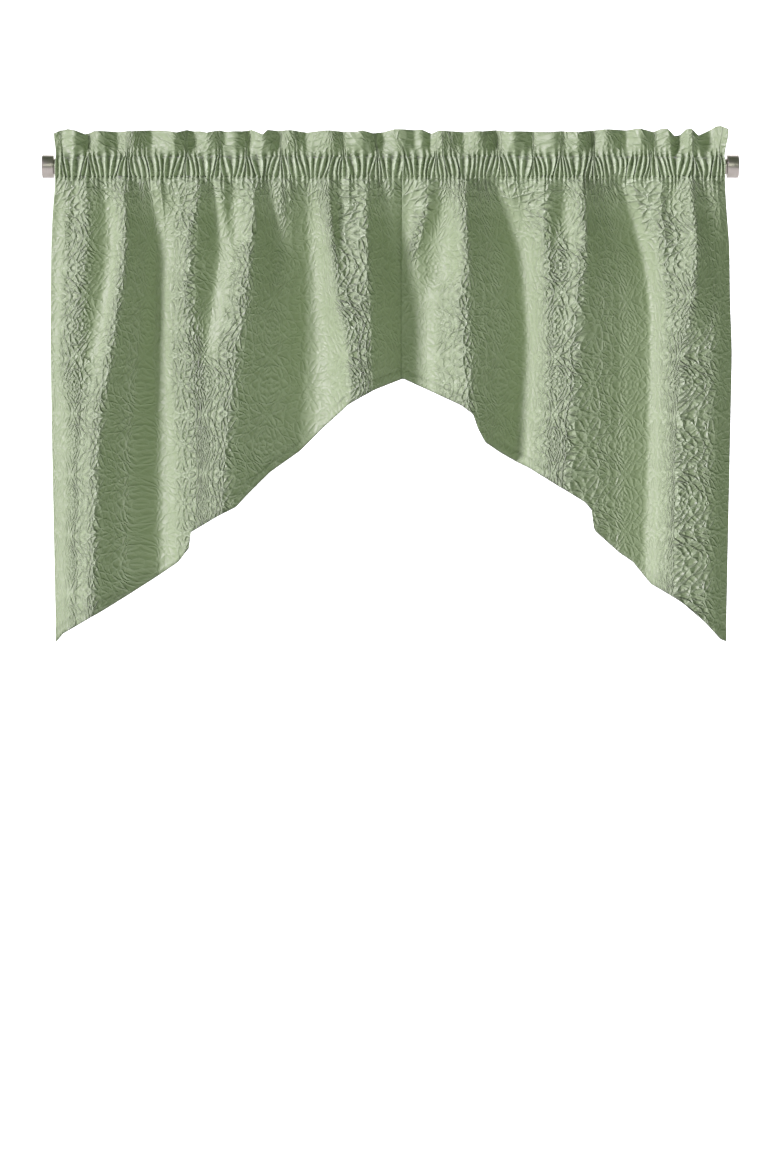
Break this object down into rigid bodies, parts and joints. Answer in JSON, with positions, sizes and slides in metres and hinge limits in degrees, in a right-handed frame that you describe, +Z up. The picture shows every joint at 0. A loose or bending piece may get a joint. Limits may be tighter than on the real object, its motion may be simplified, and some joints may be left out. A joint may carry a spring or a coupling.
{
  "type": "window swag pair on curtain rod",
  "caption": "Gathered rod-pocket window swags in puckered sage cloth, with ruffled headings and slanting hems, on a metal rod with end caps.",
  "frame": {"origin": "on the rod's axis, halfway along it", "axes": "+X along the rod to the viewer's right, +Y into the wall, +Z up"},
  "size_m": [1.009, 0.0571, 0.7455],
  "materials": {
    "metal": "brushed nickel",
    "cloth": "puckered matt weave"
  },
  "bodies": {
    "root": {"rod": "metal", "cap_left": "metal", "cap_right": "metal", "swag_left": "cloth", "swag_right": "cloth"}
  },
  "joints": []
}
